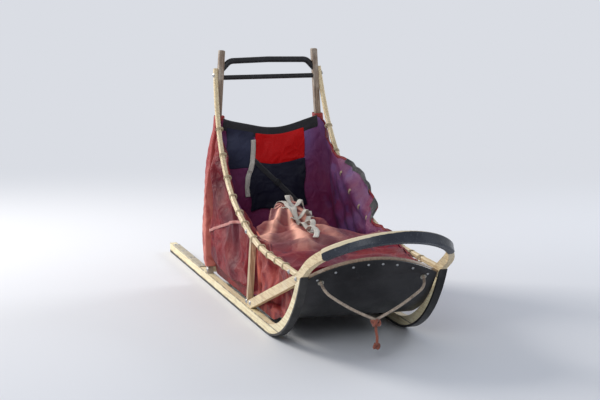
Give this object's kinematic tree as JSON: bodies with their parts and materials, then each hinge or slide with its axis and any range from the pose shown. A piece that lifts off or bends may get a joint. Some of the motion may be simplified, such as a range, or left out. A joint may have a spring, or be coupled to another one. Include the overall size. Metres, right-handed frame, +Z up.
{
  "type": "dog sled",
  "caption": "Dog sled with upswept wooden runners, bent side rails, covered front bow, open slack fabric bag, rope bridle and hinged foot brake.",
  "frame": {"origin": "ground under the middle of the sled, midway between the runner tails and the front of the bow", "axes": "+X forward, +Y to the sled's left, +Z up"},
  "size_m": [2.5468, 0.5992, 1.0346],
  "materials": {
    "ash": "varnished pale ash",
    "post_wood": "oiled brown ash, weathered",
    "sole_plastic": "satin slide plastic, scratched",
    "tread_plastic": "ribbed grip strip",
    "bow_plastic": "dark sleeve, scuffed at its edges",
    "bed_plastic": "dark sheet, satin, scratched",
    "crossbar_wood": "dark stained ash",
    "grip": "dark grip sleeve",
    "nylon": "coated nylon",
    "rope": "braided rope",
    "rope_red": "braided rope, reddish",
    "metal": "satin",
    "claw_steel": "worn"
  },
  "bodies": {
    "sled": {"runner_right": "ash", "runner_left": "ash", "rail_right": "ash", "rail_left": "ash", "bow_leg_right": "ash", "bow_leg_left": "ash", "post_right": "post_wood", "post_left": "post_wood", "stanchion_right": "post_wood", "stanchion_left": "post_wood", "crosspiece_rear": "post_wood", "crosspiece_front": "post_wood", "sole_right": "sole_plastic", "sole_left": "sole_plastic", "tread_right": "tread_plastic", "tread_left": "tread_plastic", "bow_cover": "bow_plastic", "bed": "bed_plastic", "front_crossbar": "crossbar_wood", "driving_bow": "grip", "lower_bar": "grip", "bag_floor": "nylon", "bag_side_right": "nylon", "bag_side_left": "nylon", "bag_rear": "nylon", "bag_hood": "nylon", "post_wrap_right": "nylon", "post_wrap_left": "nylon", "bridle_leg_right": "rope", "bridle_leg_left": "rope", "rope_stopper_right": "rope", "rope_stopper_left": "rope", "bridle_knot": "rope_red", "bridle_tail": "rope_red", "tail_knot": "rope_red", "grommet_right": "metal", "grommet_left": "metal", "hinge_lugs": "metal", "hinge_pin": "metal"},
    "brake": {"brake_arms": "metal", "brake_pedal": "metal", "brake_claws": "claw_steel"}
  },
  "joints": [
    {"name": "brake_press", "type": "hinge", "parent": "sled", "child": "brake", "pos_m": [-0.56541, 0, 0.066], "axis": [0, -1, 0], "range_deg": [0, 15.8], "stiffness_Nm_per_rad": 6, "springref_deg": -28.65}
  ]
}
